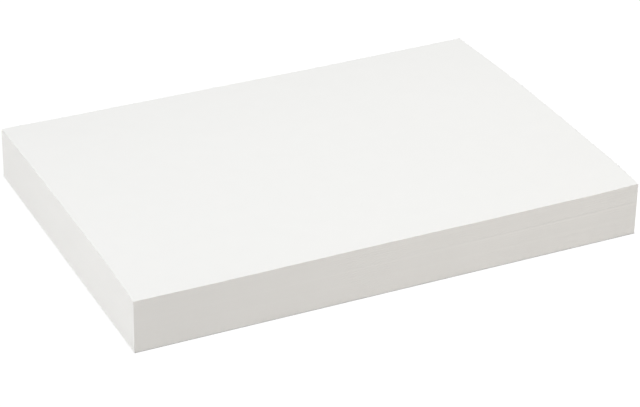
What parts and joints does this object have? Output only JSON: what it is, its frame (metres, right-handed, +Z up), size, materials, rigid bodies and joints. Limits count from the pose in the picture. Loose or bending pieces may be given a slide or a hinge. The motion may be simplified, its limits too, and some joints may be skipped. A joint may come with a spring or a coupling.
{
  "type": "ream of watercolor paper",
  "caption": "Squared-up stack of loose white watercolor paper sheets, flat underneath and along its long edges, springing up slightly in the middle of its top.",
  "frame": {"origin": "on the table under the middle of the stack", "axes": "+X along the long edges of the sheets, to the right; +Y across them, from the front edge to the back edge; +Z up through the stack"},
  "size_m": [0.2971, 0.2101, 0.0334],
  "materials": {
    "paper": "matt white, lightly toothed, with clean guillotined edges"
  },
  "bodies": {
    "root": {"quire_01": "paper", "quire_02": "paper", "quire_03": "paper", "quire_04": "paper", "quire_05": "paper", "quire_06": "paper", "quire_07": "paper", "quire_08": "paper", "quire_09": "paper", "quire_10": "paper", "quire_11": "paper", "quire_12": "paper", "quire_13": "paper", "quire_14": "paper", "quire_15": "paper", "quire_16": "paper", "quire_17": "paper", "quire_18": "paper", "quire_19": "paper", "quire_20": "paper"}
  },
  "joints": []
}
